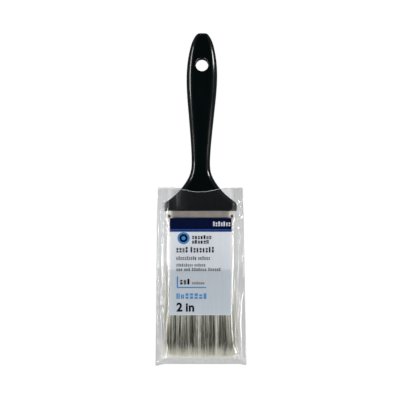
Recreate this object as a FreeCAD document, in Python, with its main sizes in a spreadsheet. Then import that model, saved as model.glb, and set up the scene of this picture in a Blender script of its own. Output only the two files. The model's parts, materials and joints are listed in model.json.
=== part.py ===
"""Flat paint brush in its clear film sleeve: a parametric FreeCAD document.

Every sub-part is drawn upright in one drawing frame: X across the brush, Z up the handle with
Z = 0 where the handle's shoulder meets the ferrule, and the printed front facing -Y. One placement,
shared by all, then lays the brush on its back: +Y towards the hanging hole, +Z out of the front,
and the origin on the table under the middle of the whole packed brush.
"""
import FreeCAD, Part
import math
import os

import Sketcher

DOCUMENT = FreeCAD.newDocument("flat_paint_brush")
SHEET = DOCUMENT.addObject("Spreadsheet::Sheet", "dimensions")
SHEET_ROWS = [0]

# Driving dimensions, in millimetres.
DRIVING = {
    # handle: shoulder, tang and hanging hole
    "shoulder_width": 54.8,
    "shoulder_depth": 15.0,
    "shoulder_height": 5.6,
    "shoulder_corner": 6.6,
    "tang_length": 20.0,
    "tang_gap": 0.1,
    "core_width": 15.0,
    "core_depth": 6.4,
    "core_height": 11.0,
    "core_corner": 1.5,
    "core_spacing": 17.5,
    "hole_radius": 4.75,
    "hole_height": 110.2,
    "hole_offset": 1.0,
    "hole_rounding": 0.9,
    "tip_rounding": 3.0,
    # ferrule
    "ferrule_width": 50.8,
    "ferrule_depth": 14.2,
    "ferrule_height": 43.7,
    "ferrule_corner": 6.0,
    "ferrule_wall": 0.4,
    "bead_rise": 0.35,
    "bead_height": 1.7,
    "bead_rounding": 0.3,
    "bead_first": 15.5,
    "bead_pitch": 9.0,
    "bead_count": 3,
    "seam_width": 4.6,
    "seam_rise": 0.3,
    # nails
    "nail_radius": 0.7,
    "nail_length": 5.2,
    "nail_head_radius": 1.4,
    "nail_dome_radius": 2.2,
    "nail_below": 4.0,
    "nail_gap": 0.02,
    # epoxy, spacers and filaments
    "epoxy_top": 22.0,
    "epoxy_bottom": 30.0,
    "spacer_width": 44.0,
    "spacer_depth": 1.9,
    "spacer_bottom": 40.0,
    "pack_gap": 0.15,
    "flare_width": 54.4,
    "flare_depth": 12.6,
    "flare_below": 76.0,
    "tips_width": 55.4,
    "tips_depth": 6.4,
    "tips_below": 111.4,
    "tips_corner": 2.8,
    # film sleeve and its printed panel
    "film": 0.25,
    "film_lap": 0.4,
    "panel_width": 46.5,
    "panel_height": 73.0,
    "panel_below": 5.4,
    "panel_thickness": 0.1,
}

# Grip stations from the shoulder to the tip: height, width, depth, crown of the faces, corner
# radius, and how far the grip leans to one side there, because the moulding is not quite straight.
GRIP = {
    "shoulder_round": (6.9, 51.8, 14.9, 0.35, 6.5, 0.0),
    "flare_low": (9.6, 44.6, 14.6, 0.50, 6.3, 0.0),
    "flare_middle": (13.0, 36.4, 14.1, 0.70, 6.0, 0.0),
    "flare_high": (18.0, 27.6, 13.3, 0.85, 5.5, 0.0),
    "throat": (25.0, 18.4, 12.2, 0.90, 4.8, 0.0),
    "neck_low": (30.0, 14.8, 11.7, 0.90, 4.5, 0.04),
    "neck": (35.0, 13.9, 11.4, 0.90, 4.4, 0.10),
    "neck_high": (44.0, 14.4, 11.6, 0.95, 4.5, 0.20),
    "lower_grip": (55.0, 16.0, 12.0, 1.00, 4.6, 0.34),
    "middle_grip": (77.0, 20.1, 13.6, 1.20, 5.1, 0.61),
    "belly": (99.0, 23.2, 15.0, 1.40, 5.6, 0.89),
    "hole_level": (112.0, 22.1, 13.8, 1.20, 5.2, 1.05),
    "nose_low": (122.5, 18.5, 11.6, 0.90, 4.4, 1.18),
    "nose_high": (129.4, 14.1, 9.2, 0.60, 3.4, 1.26),
    "nose_end": (132.6, 10.4, 7.4, 0.45, 2.8, 1.30),
    "tip": (134.6, 6.6, 5.2, 0.30, 2.0, 1.32),
}

# Sleeve stations from the bottom seal to the mouth: height, width over the fins, width between the
# front creases, depth over the film.
SLEEVE = {
    "seal_bottom": (-116.2, 68.0, 60.0, 0.7),
    "seal_top": (-114.2, 68.0, 60.0, 0.7),
    "sleeve_tips": (-112.0, 68.0, 55.0, 8.3),
    "sleeve_flare": (-80.0, 67.6, 48.6, 16.1),
    "sleeve_ferrule": (-10.0, 66.8, 48.6, 16.1),
    "sleeve_mouth": (17.6, 64.0, 49.0, 16.1),
}


class Size:
    """A length in millimetres together with the spreadsheet expression that gives it."""

    def __init__(self, value, text):
        self.value, self.text = value, text

    def join(self, other, sign, value):
        text = other.text if isinstance(other, Size) else repr(other)
        return Size(value, f"({self.text} {sign} {text})")

    def __add__(self, other):
        return self.join(other, "+", self.value + number(other))

    def __sub__(self, other):
        return self.join(other, "-", self.value - number(other))

    def __mul__(self, other):
        return self.join(other, "*", self.value * number(other))

    def __truediv__(self, other):
        return self.join(other, "/", self.value / number(other))

    def __neg__(self):
        return self * -1


def number(value):
    return value.value if isinstance(value, Size) else value


def cell(name, value):
    """Writes one driving dimension to the next row of the sheet and returns it as a Size."""
    SHEET_ROWS[0] += 1
    row = SHEET_ROWS[0]
    SHEET.set(f"A{row}", name)
    SHEET.set(f"B{row}", str(value))
    SHEET.setAlias(f"B{row}", name)
    return Size(float(value), f"dimensions.{name}")


def stations(table, parts):
    """Writes a table of stations to the sheet and returns a list of dicts of Sizes."""
    found = []
    for name, values in table.items():
        found.append({p: cell(f"{name}_{p}", v) for p, v in zip(parts, values)})
    return found


D = {name: cell(name, value) for name, value in DRIVING.items()}
GRIP_STATIONS = stations(GRIP, ("height", "width", "depth", "crown", "corner", "lean"))
SLEEVE_STATIONS = stations(SLEEVE, ("height", "width", "crease", "depth"))
DOCUMENT.recompute()

ZERO = Size(0.0, "0")
FERRULE_INNER_WIDTH = D["ferrule_width"] - D["ferrule_wall"] * 2
FERRULE_INNER_DEPTH = D["ferrule_depth"] - D["ferrule_wall"] * 2
FERRULE_INNER_CORNER = D["ferrule_corner"] - D["ferrule_wall"]
SLEEVE_DEPTH = SLEEVE_STATIONS[-1]["depth"]


# Sketches ----------------------------------------------------------------------------------------


def bind(item, name, size):
    """Sets a property of an object from a Size, by its expression."""
    item.setExpression(name, size.text)


def body(label):
    made = DOCUMENT.addObject("PartDesign::Body", label)
    made.Label = label
    return made


def plane_of(owner, role):
    return next(f for f in owner.Origin.OriginFeatures if f.Role == role)


def sketch_at(owner, name, height=ZERO, role="XY_Plane"):
    """A sketch on one of the body's own origin planes, moved up its normal by height."""
    sketch = owner.newObject("Sketcher::SketchObject", name)
    sketch.AttachmentSupport = [(plane_of(owner, role), "")]
    sketch.MapMode = "FlatFace"
    bind(sketch, ".AttachmentOffset.Base.z", height)
    return sketch


def limit(sketch, kind, places, size):
    """Adds one dimensional constraint and binds it to the sheet."""
    index = sketch.addConstraint(Sketcher.Constraint(kind, *places, size.value))
    bind(sketch, f"Constraints[{index}]", size)


def draw_section(sketch, width, depth, corner, crown_radius=None, middle=(ZERO, ZERO)):
    """A rounded rectangle. With crown_radius, its two broad faces are arcs of that radius."""
    w, d, r = width.value / 2, depth.value / 2, corner.value
    across, up = middle[0].value, middle[1].value
    first = sketch.GeometryCount
    vector = FreeCAD.Vector
    if crown_radius is None:
        shoulder, turn = d - r, math.pi / 2
    else:
        big = crown_radius.value
        shoulder = d - big + math.sqrt((big - r) ** 2 - (w - r) ** 2)
        turn = math.atan2(shoulder - d + big, w - r)
    axis = vector(0, 0, 1)

    def arc(x, y, radius, start, end):
        circle = Part.Circle(vector(across + x, up + y), axis, radius)
        sketch.addGeometry(Part.ArcOfCircle(circle, start, end))

    def line(x0, y0, x1, y1):
        ends = vector(across + x0, up + y0), vector(across + x1, up + y1)
        sketch.addGeometry(Part.LineSegment(*ends))

    if crown_radius is None:
        line(r - w, -d, w - r, -d)
    else:
        arc(0, big - d, big, -math.pi + turn, -turn)
    arc(w - r, -shoulder, r, -turn, 0)
    line(w, -shoulder, w, shoulder)
    arc(w - r, shoulder, r, 0, turn)
    if crown_radius is None:
        line(w - r, d, r - w, d)
    else:
        arc(0, d - big, big, turn, math.pi - turn)
    arc(r - w, shoulder, r, math.pi - turn, math.pi)
    line(-w, shoulder, -w, -shoulder)
    arc(r - w, -shoulder, r, math.pi, math.pi + turn)

    edges = [first + i for i in range(8)]
    for here, after in zip(edges, edges[1:] + edges[:1]):
        sketch.addConstraint(Sketcher.Constraint("Tangent", here, 2, after, 1))
    for other in (edges[3], edges[5], edges[7]):
        sketch.addConstraint(Sketcher.Constraint("Equal", edges[1], other))
    sketch.addConstraint(Sketcher.Constraint("Vertical", edges[2]))
    sketch.addConstraint(Sketcher.Constraint("Vertical", edges[6]))
    limit(sketch, "Radius", (edges[1],), corner)
    limit(sketch, "DistanceX", (edges[6], 1, edges[2], 1), width)
    if crown_radius is None:
        sketch.addConstraint(Sketcher.Constraint("Horizontal", edges[0]))
        sketch.addConstraint(Sketcher.Constraint("Horizontal", edges[4]))
        limit(sketch, "DistanceY", (edges[0], 1, edges[4], 1), depth)
        limit(sketch, "DistanceX", (-1, 1, edges[3], 3), middle[0] + width / 2 - corner)
        limit(sketch, "DistanceY", (-1, 1, edges[3], 3), middle[1] + depth / 2 - corner)
    else:
        limit(sketch, "Radius", (edges[4],), crown_radius)
        limit(sketch, "DistanceX", (-1, 1, edges[2], 1), middle[0] + width / 2)
        limit(sketch, "DistanceY", (edges[4], 3, -1, 1), crown_radius - depth / 2)
        limit(sketch, "DistanceY", (-1, 1, edges[0], 3), crown_radius - depth / 2)
        sketch.addConstraint(Sketcher.Constraint("Equal", edges[0], edges[4]))
        sketch.addConstraint(Sketcher.Constraint("Vertical", edges[0], 3, edges[4], 3))
        if across:
            limit(sketch, "DistanceX", (-1, 1, edges[4], 3), middle[0])
        else:
            sketch.addConstraint(Sketcher.Constraint("PointOnObject", edges[4], 3, -2))


def draw_polygon(sketch, points):
    """A closed polygon whose every corner is placed from the origin."""
    corners = [FreeCAD.Vector(x.value, y.value, 0) for x, y in points]
    first = sketch.GeometryCount
    for here, after in zip(corners, corners[1:] + corners[:1]):
        sketch.addGeometry(Part.LineSegment(here, after))
    for i in range(len(points)):
        after = (i + 1) % len(points)
        sketch.addConstraint(Sketcher.Constraint("Coincident", first + i, 2, first + after, 1))
    for i, (x, y) in enumerate(points):
        limit(sketch, "DistanceX", (-1, 1, first + i, 1), x)
        limit(sketch, "DistanceY", (-1, 1, first + i, 1), y)


# Features ----------------------------------------------------------------------------------------


def settled(feature, owner, grows):
    """Recomputes and stops if the feature failed or changed the body's volume the wrong way."""
    before = settled.volume.get(owner.Name, 0.0)
    DOCUMENT.recompute()
    after = owner.Shape.Volume
    if not feature.isValid() or (after <= before if grows else after >= before):
        raise RuntimeError(f"{owner.Label}: {feature.Name} went from {before} to {after} mm3")
    settled.volume[owner.Name] = after
    return feature


settled.volume = {}


def pad(owner, name, sketch, length, downwards=False):
    made = owner.newObject("PartDesign::Pad", name)
    made.Profile = sketch
    made.Reversed = downwards
    bind(made, "Length", length)
    return settled(made, owner, True)


def pocket(owner, name, sketch, length=None, upwards=False):
    """A pocket of a length, or right through both ways when it has none."""
    made = owner.newObject("PartDesign::Pocket", name)
    made.Profile = sketch
    if length is None:
        made.Type = "ThroughAll"
        made.Midplane = True
    else:
        made.Reversed = upwards
        bind(made, "Length", length)
    return settled(made, owner, False)


def loft(owner, name, sketches, ruled=False, cut=False):
    kind = "PartDesign::SubtractiveLoft" if cut else "PartDesign::AdditiveLoft"
    made = owner.newObject(kind, name)
    made.Profile = sketches[0]
    made.Sections = sketches[1:]
    made.Ruled = ruled
    return settled(made, owner, not cut)


def round_edges(owner, name, radius, wanted):
    """Fillets every edge of the body that the test wanted picks out."""
    base = owner.Tip
    names = [f"Edge{i + 1}" for i, e in enumerate(base.Shape.Edges) if wanted(e)]
    if not names:
        raise RuntimeError(f"{owner.Label}: no edges for {name}")
    made = owner.newObject("PartDesign::Fillet", name)
    made.Base = (base, names)
    bind(made, "Radius", radius)
    DOCUMENT.recompute()
    if not made.isValid():
        raise RuntimeError(f"{owner.Label}: {name} failed")
    settled.volume[owner.Name] = owner.Shape.Volume
    return made


def level(edge, height):
    """True if the whole edge lies in the horizontal plane at that height."""
    box = edge.BoundBox
    return abs(box.ZMin - height) < 1e-4 and abs(box.ZMax - height) < 1e-4


# Sub-parts ---------------------------------------------------------------------------------------


def make_handle():
    """Moulded handle: tang, shoulder block, lofted grip, cored tang and hanging hole."""
    handle = body("handle")
    shoulder = sketch_at(handle, "shoulder_outline")
    draw_section(shoulder, D["shoulder_width"], D["shoulder_depth"], D["shoulder_corner"])
    pad(handle, "shoulder_block", shoulder, D["shoulder_height"])

    sections = []
    base = {
        "height": D["shoulder_height"],
        "width": D["shoulder_width"],
        "depth": D["shoulder_depth"],
        "crown": Size(0.2, "0.2"),
        "corner": D["shoulder_corner"],
        "lean": ZERO,
    }
    for i, s in enumerate([base, *GRIP_STATIONS]):
        section = sketch_at(handle, f"grip_section_{i + 1:02d}", s["height"])
        crown_radius = s["width"] * s["width"] / (s["crown"] * 8)
        middle = (s["lean"], ZERO)
        draw_section(section, s["width"], s["depth"], s["corner"], crown_radius, middle)
        sections.append(section)
    loft(handle, "grip", sections)

    top = GRIP_STATIONS[-1]["height"].value
    round_edges(handle, "rounded_tip", D["tip_rounding"], lambda e: level(e, top))

    tang = sketch_at(handle, "tang_outline")
    gap = D["tang_gap"]
    width = FERRULE_INNER_WIDTH - gap * 2
    depth = FERRULE_INNER_DEPTH - gap * 2
    draw_section(tang, width, depth, FERRULE_INNER_CORNER - gap)
    pad(handle, "tang", tang, D["tang_length"], downwards=True)

    cores = sketch_at(handle, "tang_cores", -D["tang_length"])
    for step in (-1, 0, 1):
        middle = (D["core_spacing"] * step, ZERO)
        draw_section(cores, D["core_width"], D["core_depth"], D["core_corner"], None, middle)
    pocket(handle, "cored_tang", cores, D["core_height"], upwards=True)

    circle = sketch_at(handle, "hanging_hole_outline", ZERO, "XZ_Plane")
    centre = FreeCAD.Vector(D["hole_offset"].value, D["hole_height"].value, 0)
    circle.addGeometry(Part.Circle(centre, FreeCAD.Vector(0, 0, 1), D["hole_radius"].value))
    limit(circle, "DistanceX", (-1, 1, 0, 3), D["hole_offset"])
    limit(circle, "DistanceY", (-1, 1, 0, 3), D["hole_height"])
    limit(circle, "Radius", (0,), D["hole_radius"])
    pocket(handle, "hanging_hole", circle)

    reach = D["hole_radius"].value + 0.01
    height = D["hole_height"].value

    def is_rim(edge):
        box = edge.BoundBox
        inside = max(abs(box.XMin - centre.x), abs(box.XMax - centre.x)) < reach
        near = abs(box.ZMin - height) < reach and abs(box.ZMax - height) < reach
        return inside and near and box.XMax - box.XMin > reach / 4 and abs(edge.CenterOfMass.y) > 1

    round_edges(handle, "hole_rims", D["hole_rounding"], is_rim)
    return drill_nail_holes(handle)


def nail_placements():
    """Where the four nails go: in the ferrule's rounded corners, at 45 degrees to its faces."""
    out = (D["ferrule_width"].value / 2 - D["ferrule_corner"].value,
           D["ferrule_depth"].value / 2 - D["ferrule_corner"].value)
    reach = D["ferrule_corner"].value
    found = []
    for side in (-1, 1):
        for face in (-1, 1):
            outward = FreeCAD.Vector(side, face, 0).normalize()
            corner = FreeCAD.Vector(side * out[0], face * out[1], -D["nail_below"].value)
            turn = FreeCAD.Rotation(FreeCAD.Vector(0, 0, 1), outward)
            found.append(FreeCAD.Placement(corner + outward * reach, turn))
    return found


def drill_nail_holes(owner):
    """Cuts the nails' four holes out of a body, with a little clearance."""
    drills = []
    for i, place in enumerate(nail_placements()):
        drill = DOCUMENT.addObject("Part::Cylinder", f"{owner.Label}_drill_{i + 1}")
        bind(drill, "Radius", D["nail_radius"] + D["nail_gap"])
        bind(drill, "Height", D["nail_length"] * 2 + D["nail_gap"])
        drill.Placement = place * FreeCAD.Placement(
            FreeCAD.Vector(0, 0, -D["nail_length"].value - D["nail_gap"].value),
            FreeCAD.Rotation())
        drills.append(drill)
    drilled = DOCUMENT.addObject("Part::Cut", f"{owner.Label}_drilled")
    tools = DOCUMENT.addObject("Part::MultiFuse", f"{owner.Label}_drills")
    tools.Shapes = drills
    drilled.Base = owner
    drilled.Tool = tools
    drilled.Label = f"{owner.Label}_with_nail_holes"
    DOCUMENT.recompute()
    if drilled.Shape.Volume >= owner.Shape.Volume:
        raise RuntimeError(f"{owner.Label}: the nail holes cut nothing")
    return drilled


def make_ferrule():
    """Pressed sheet-metal band with three raised beads and a lapped seam down its back."""
    ferrule = body("ferrule")
    width, depth, corner = D["ferrule_width"], D["ferrule_depth"], D["ferrule_corner"]
    rise = D["bead_rise"]
    band = sketch_at(ferrule, "band_outline")
    draw_section(band, width, depth, corner)
    draw_section(band, FERRULE_INNER_WIDTH, FERRULE_INNER_DEPTH, FERRULE_INNER_CORNER)
    pad(ferrule, "band", band, D["ferrule_height"], downwards=True)

    for i in range(int(D["bead_count"].value)):
        top = D["bead_first"] + D["bead_pitch"] * i
        bead = sketch_at(ferrule, f"bead_outline_{i + 1}", -top)
        draw_section(bead, width + rise * 2, depth + rise * 2, corner + rise)
        wall = D["ferrule_wall"]
        draw_section(bead, width - wall, depth - wall, corner - wall / 2)
        pad(ferrule, f"bead_{i + 1}", bead, D["bead_height"], downwards=True)
    edge_out = (depth.value / 2 + rise.value, width.value / 2 + rise.value)

    def on_bead(edge):
        box = edge.BoundBox
        flat = box.ZMax - box.ZMin < 1e-6
        reach = max(abs(box.YMin), abs(box.YMax)), max(abs(box.XMin), abs(box.XMax))
        return flat and (abs(reach[0] - edge_out[0]) < 1e-4 or abs(reach[1] - edge_out[1]) < 1e-4)

    round_edges(ferrule, "rolled_beads", D["bead_rounding"], on_bead)

    seam = sketch_at(ferrule, "seam_outline")
    half, back, out = D["seam_width"] / 2, depth / 2, depth / 2 + D["seam_rise"]
    inset = back - D["ferrule_wall"] / 2
    draw_polygon(seam, [(-half, inset), (half, inset), (half, out), (-half, out)])
    pad(ferrule, "lapped_seam", seam, D["ferrule_height"], downwards=True)
    return drill_nail_holes(ferrule)


def make_nails():
    """Four short nails with domed heads, one in each rounded corner of the ferrule."""
    nails = []
    rim = math.sqrt(D["nail_dome_radius"].value ** 2 - D["nail_head_radius"].value ** 2)
    low = math.degrees(math.asin(rim / D["nail_dome_radius"].value))
    for i, place in enumerate(nail_placements()):
        shank = DOCUMENT.addObject("Part::Cylinder", f"nail_shank_{i + 1}")
        bind(shank, "Radius", D["nail_radius"])
        bind(shank, "Height", D["nail_length"])
        shank.Placement = FreeCAD.Placement(
            FreeCAD.Vector(0, 0, -D["nail_length"].value), FreeCAD.Rotation())
        head = DOCUMENT.addObject("Part::Sphere", f"nail_head_{i + 1}")
        bind(head, "Radius", D["nail_dome_radius"])
        head.Angle1 = low
        head.Placement = FreeCAD.Placement(FreeCAD.Vector(0, 0, -rim), FreeCAD.Rotation())
        nail = DOCUMENT.addObject("Part::MultiFuse", f"nail_{i + 1}")
        nail.Shapes = [shank, head]
        nail.Placement = place
        nails.append(nail)
    group = DOCUMENT.addObject("Part::Compound", "nail_group")
    group.Links = nails
    return group


def make_block(label, width, depth, corner, top, bottom, forward=ZERO):
    """A plain rounded block between two depths below the shoulder."""
    made = body(label)
    outline = sketch_at(made, f"{label}_outline", -top)
    draw_section(outline, width, depth, corner, None, (ZERO, -forward))
    pad(made, f"{label}_block", outline, bottom - top, downwards=True)
    return made


def make_filament_stock():
    """The whole bundle of filaments, before the spacers split it into three rows."""
    stock = body("filament_stock")
    gap = D["pack_gap"]
    width, depth = FERRULE_INNER_WIDTH - gap * 2, FERRULE_INNER_DEPTH - gap * 2
    corner = FERRULE_INNER_CORNER - gap
    root = sketch_at(stock, "root_outline", -D["epoxy_bottom"])
    draw_section(root, width, depth, corner)
    pad(stock, "roots", root, D["ferrule_height"] - D["epoxy_bottom"], downwards=True)
    levels = [
        (D["ferrule_height"], width, depth, corner),
        (D["flare_below"], D["flare_width"], D["flare_depth"], corner),
        (D["tips_below"], D["tips_width"], D["tips_depth"], D["tips_corner"]),
    ]
    sections = []
    for i, (below, wide, deep, round_) in enumerate(levels):
        section = sketch_at(stock, f"bundle_section_{i + 1}", -below)
        draw_section(section, wide, deep, round_)
        sections.append(section)
    loft(stock, "bundle", sections)
    return stock


def make_filament_rows(stock):
    """Three rows of filaments, parted by the spacers in the ferrule and closing at the tips."""
    gap = D["pack_gap"]
    share = (FERRULE_INNER_DEPTH - gap * 2 - D["spacer_depth"] * 2 - gap * 4) / 3
    root = share / 2
    flare = D["flare_depth"] / 6
    tips = D["tips_depth"] / 6
    apart = D["spacer_depth"] + gap * 2
    top, mouth, flared, ends = (
        -(D["epoxy_bottom"] - 1.0),
        -D["ferrule_height"],
        -D["flare_below"],
        -(D["tips_below"] + 1.0),
    )
    wide = D["ferrule_depth"]
    outer = [
        (-wide, top),
        (-(root + apart), top),
        (-(root + apart), mouth),
        (-(flare + gap), flared),
        (-(tips + gap), ends),
        (-wide, ends),
    ]
    inner = [
        (-root, top),
        (root, top),
        (root, mouth),
        (flare, flared),
        (tips, ends),
        (-tips, ends),
        (-flare, flared),
        (-root, mouth),
    ]
    mirrored = [(-x, y) for x, y in outer]
    rows = {}
    for label, outline in (("front", outer), ("middle", inner), ("rear", mirrored)):
        slab = body(f"{label}_slab")
        sketch = sketch_at(slab, f"{label}_slab_outline", ZERO, "YZ_Plane")
        draw_polygon(sketch, outline)
        block = slab.newObject("PartDesign::Pad", f"{label}_slab_block")
        block.Profile = sketch
        block.Midplane = True
        bind(block, "Length", D["flare_width"] * 2)
        settled(block, slab, True)
        row = DOCUMENT.addObject("Part::Common", f"{label}_row")
        row.Base = stock
        row.Tool = slab
        rows[label] = row
    return rows


def make_film(label, side):
    """One sheet of the sleeve, on the side -1 front or 1 back: a shallow tray that meets the other
    sheet edge to edge along both sides and the bottom seal, and is open at the mouth."""
    sheet = body(label)

    def tray(width, crease, depth):
        x, c, y = width / 2, crease / 2, depth / 2 * side
        return [(-x, ZERO), (x, ZERO), (c, y), (-c, y)]

    outer, inner = [], []
    for i, s in enumerate(SLEEVE_STATIONS):
        section = sketch_at(sheet, f"{label}_outside_{i + 1}", s["height"])
        draw_polygon(section, tray(s["width"], s["crease"], s["depth"]))
        outer.append(section)
    loft(sheet, f"{label}_outside", outer, ruled=True)

    film, lap = D["film"], D["film_lap"]
    for i, s in enumerate(SLEEVE_STATIONS[1:]):
        section = sketch_at(sheet, f"{label}_inside_{i + 1}", s["height"])
        hollow = (s["width"] - lap * 2, s["crease"] - film, s["depth"] - film * 2)
        draw_polygon(section, tray(*hollow))
        inner.append(section)
    loft(sheet, f"{label}_inside", inner, ruled=True, cut=True)
    return sheet


def make_panel():
    """The printed panel, as a thin layer on the front sheet."""
    panel = body("printed_panel")
    outline = sketch_at(panel, "panel_outline", SLEEVE_DEPTH / 2, "XZ_Plane")
    half, top = D["panel_width"] / 2, -D["panel_below"]
    bottom = top - D["panel_height"]
    draw_polygon(outline, [(-half, bottom), (half, bottom), (half, top), (-half, top)])
    pad(panel, "panel_layer", outline, D["panel_thickness"])
    return panel


# The brush ---------------------------------------------------------------------------------------


def lay_down(item):
    """Lays a finished sub-part on its back, over the origin."""
    tip, seal = GRIP_STATIONS[-1]["height"], SLEEVE_STATIONS[0]["height"]
    turn = FreeCAD.Rotation(FreeCAD.Vector(1, 0, 0), -90)
    item.Placement = FreeCAD.Placement(FreeCAD.Vector(), turn)
    bind(item, ".Placement.Base.y", -((tip + seal) / 2))
    bind(item, ".Placement.Base.z", SLEEVE_DEPTH / 2)


def make_all():
    gap = D["pack_gap"]
    inner = (FERRULE_INNER_WIDTH - gap * 2, FERRULE_INNER_DEPTH - gap * 2)
    corner = FERRULE_INNER_CORNER - gap
    share = (inner[1] - D["spacer_depth"] * 2 - gap * 4) / 3
    forward = share / 2 + gap + D["spacer_depth"] / 2
    spacer = (D["spacer_width"], D["spacer_depth"], D["spacer_depth"] * 0.4)
    between = (D["epoxy_bottom"], D["spacer_bottom"])

    parts = {
        "handle": make_handle(),
        "ferrule": make_ferrule(),
        "ferrule_nails": make_nails(),
        "epoxy_block": make_block(
            "epoxy_block", *inner, corner, D["epoxy_top"], D["epoxy_bottom"]),
        "front_spacer": make_block("front_spacer", *spacer, *between, forward),
        "rear_spacer": make_block("rear_spacer", *spacer, *between, -forward),
        "front_film": make_film("front_film", -1),
        "back_film": make_film("back_film", 1),
        "printed_panel": make_panel(),
    }
    rows = make_filament_rows(make_filament_stock())
    for name, row in rows.items():
        parts[f"{name}_filaments"] = row
    for label, item in parts.items():
        if item.Label != label:
            for other in DOCUMENT.Objects:
                if other.Label == label:
                    other.Label = f"{label}_blank"
            item.Label = label
        lay_down(item)
    return parts


def check(parts):
    """Stops if any object failed, or a sub-part is empty or not valid."""
    DOCUMENT.recompute()
    for item in DOCUMENT.Objects:
        if "Invalid" in item.State or "Error" in item.State:
            raise RuntimeError(f"{item.Label} failed: {item.State}")
    for label, item in parts.items():
        if item.Shape.isNull() or not item.Shape.isValid() or not item.Shape.Solids:
            raise RuntimeError(f"{label} has no valid solid")


def export(parts):
    os.makedirs("parts", exist_ok=True)
    for label, item in sorted(parts.items()):
        item.Shape.exportStep(os.path.join("parts", f"{label}.step"))
        box = item.Shape.BoundBox
        print(f"{label:18s} solids {len(item.Shape.Solids)}  volume {item.Shape.Volume:9.1f} mm3  "
              f"X {box.XMin:7.2f} {box.XMax:7.2f}  Y {box.YMin:8.2f} {box.YMax:8.2f}  "
              f"Z {box.ZMin:6.2f} {box.ZMax:6.2f}")


PARTS = make_all()
check(PARTS)
export(PARTS)
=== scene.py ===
"""The looks of a flat paint brush in its clear film sleeve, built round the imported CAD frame.

Shapes are worked out in millimetres in a drawing frame: x across the brush, y up the handle from
the line where its shoulder meets the ferrule, z up from the brush's middle plane.
"""
import json
import math
import random
from collections import namedtuple

import bpy
import bmesh
import numpy as np
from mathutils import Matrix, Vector, noise


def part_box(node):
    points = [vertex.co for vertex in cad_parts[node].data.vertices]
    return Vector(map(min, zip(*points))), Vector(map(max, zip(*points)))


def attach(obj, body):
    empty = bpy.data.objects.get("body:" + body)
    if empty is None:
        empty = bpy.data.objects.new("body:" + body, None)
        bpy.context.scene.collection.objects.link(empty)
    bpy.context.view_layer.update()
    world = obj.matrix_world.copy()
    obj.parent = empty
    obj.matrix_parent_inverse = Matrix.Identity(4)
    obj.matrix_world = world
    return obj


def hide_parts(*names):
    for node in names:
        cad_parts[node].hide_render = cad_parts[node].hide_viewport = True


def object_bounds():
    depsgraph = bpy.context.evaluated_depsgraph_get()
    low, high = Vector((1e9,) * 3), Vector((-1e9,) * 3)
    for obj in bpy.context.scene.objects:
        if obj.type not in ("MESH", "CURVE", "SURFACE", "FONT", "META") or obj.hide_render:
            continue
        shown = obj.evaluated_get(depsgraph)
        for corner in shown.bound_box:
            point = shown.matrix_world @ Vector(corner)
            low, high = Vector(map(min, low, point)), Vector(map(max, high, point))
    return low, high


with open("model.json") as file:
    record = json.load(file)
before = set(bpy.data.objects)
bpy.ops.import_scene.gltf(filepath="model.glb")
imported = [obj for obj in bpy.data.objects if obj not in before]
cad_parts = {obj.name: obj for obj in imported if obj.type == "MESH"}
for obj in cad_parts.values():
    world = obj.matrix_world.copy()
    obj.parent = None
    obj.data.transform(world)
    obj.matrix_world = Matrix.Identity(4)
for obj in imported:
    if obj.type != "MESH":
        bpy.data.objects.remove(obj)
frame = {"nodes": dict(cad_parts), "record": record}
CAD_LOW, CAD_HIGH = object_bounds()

MM = 0.001
FERRULE_LOW, FERRULE_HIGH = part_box("ferrule")
SHOULDER_LINE = FERRULE_HIGH.y
MIDDLE_PLANE = (FERRULE_LOW.z + FERRULE_HIGH.z) / 2


def drawing_box(name):
    """A CAD node's lowest and highest corners in the drawing frame, in millimetres."""
    shift = Vector((0, SHOULDER_LINE, MIDDLE_PLANE))
    return [(corner - shift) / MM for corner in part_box(name)]


# Meshes ---------------------------------------------------------------


def new_piece(name, points, faces, material, body, smooth=True):
    """A mesh piece from points in the drawing frame, riding on a CAD body."""
    rows = np.asarray(points, float) * MM + (0, SHOULDER_LINE, MIDDLE_PLANE)
    mesh = bpy.data.meshes.new(name)
    mesh.from_pydata(rows.tolist(), [], [list(face) for face in faces])
    mesh.update()
    work = bmesh.new()
    work.from_mesh(mesh)
    bmesh.ops.recalc_face_normals(work, faces=work.faces)
    work.to_mesh(mesh)
    work.free()
    mesh.polygons.foreach_set("use_smooth", [smooth] * len(mesh.polygons))
    mesh.materials.append(material)
    piece = bpy.data.objects.new(name, mesh)
    bpy.context.scene.collection.objects.link(piece)
    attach(piece, body)
    return piece


def store(piece, name, values):
    """Gives a piece's points a value each, for its material to read."""
    attribute = piece.data.attributes.new(name, "FLOAT", "POINT")
    attribute.data.foreach_set("value", np.asarray(values, np.float32))


def grid_faces(rows, columns, first=0):
    """Quads of a grid of points that runs row by row."""
    found = []
    for i in range(rows - 1):
        for j in range(columns - 1):
            a = first + i * columns + j
            found.append((a, a + 1, a + columns + 1, a + columns))
    return found


def closed_sheet(top, under):
    """Points and quads of a thin closed sheet between two grids of the same shape."""
    rows, columns, _ = top.shape
    count = rows * columns
    faces = grid_faces(rows, columns) + grid_faces(rows, columns, count)
    rim = list(range(columns))
    rim += [i * columns + columns - 1 for i in range(1, rows)]
    rim += [(rows - 1) * columns + j for j in range(columns - 2, -1, -1)]
    rim += [i * columns for i in range(rows - 2, 0, -1)]
    for a, b in zip(rim, rim[1:] + rim[:1]):
        faces.append((a, b, b + count, a + count))
    points = np.concatenate([top.reshape(-1, 3), under.reshape(-1, 3)])
    return points, faces


def smoothstep(low, high, value):
    """A smooth step from 0 at low to 1 at high, or the other way round if low is the higher."""
    t = np.clip((np.asarray(value, float) - low) / (high - low), 0, 1)
    return t * t * (3 - 2 * t)


# Materials ------------------------------------------------------------


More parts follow.
